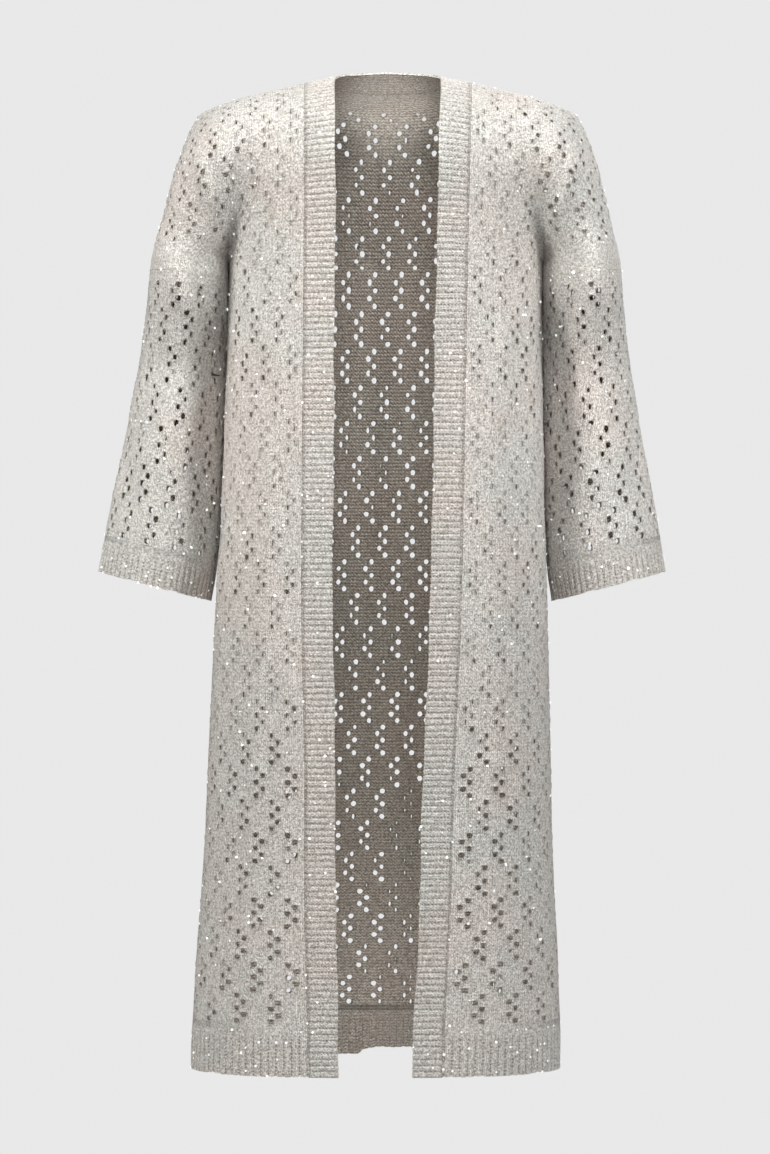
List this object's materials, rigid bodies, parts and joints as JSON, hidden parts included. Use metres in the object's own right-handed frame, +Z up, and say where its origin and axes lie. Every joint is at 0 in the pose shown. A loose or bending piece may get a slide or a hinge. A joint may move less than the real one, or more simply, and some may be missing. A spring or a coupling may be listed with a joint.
{
  "type": "open-front cardigan",
  "caption": "Long open-front lace-knit cardigan with drop shoulders, elbow-length wide sleeves and a ribbed front band.",
  "frame": {"origin": "between the two high points of the shoulders, where the wearer's shoulders carry the garment", "axes": "+Z up, -Y towards the open front, +X towards the wearer's left"},
  "size_m": [0.6421, 0.2523, 1.1195],
  "materials": {
    "lace_knit": "marled silver-grey slub yarn with a faint metallic glint, in stocking stitch with leaf-shaped groups of eyelets",
    "rib_knit": "the same yarn in wide ribs",
    "sequins": "tiny clear silver discs knitted in with the yarn"
  },
  "bodies": {
    "root": {"front_right": "lace_knit", "front_left": "lace_knit", "back": "lace_knit", "sleeve_right_front": "lace_knit", "sleeve_right_back": "lace_knit", "sleeve_left_front": "lace_knit", "sleeve_left_back": "lace_knit", "band": "rib_knit"}
  },
  "joints": []
}
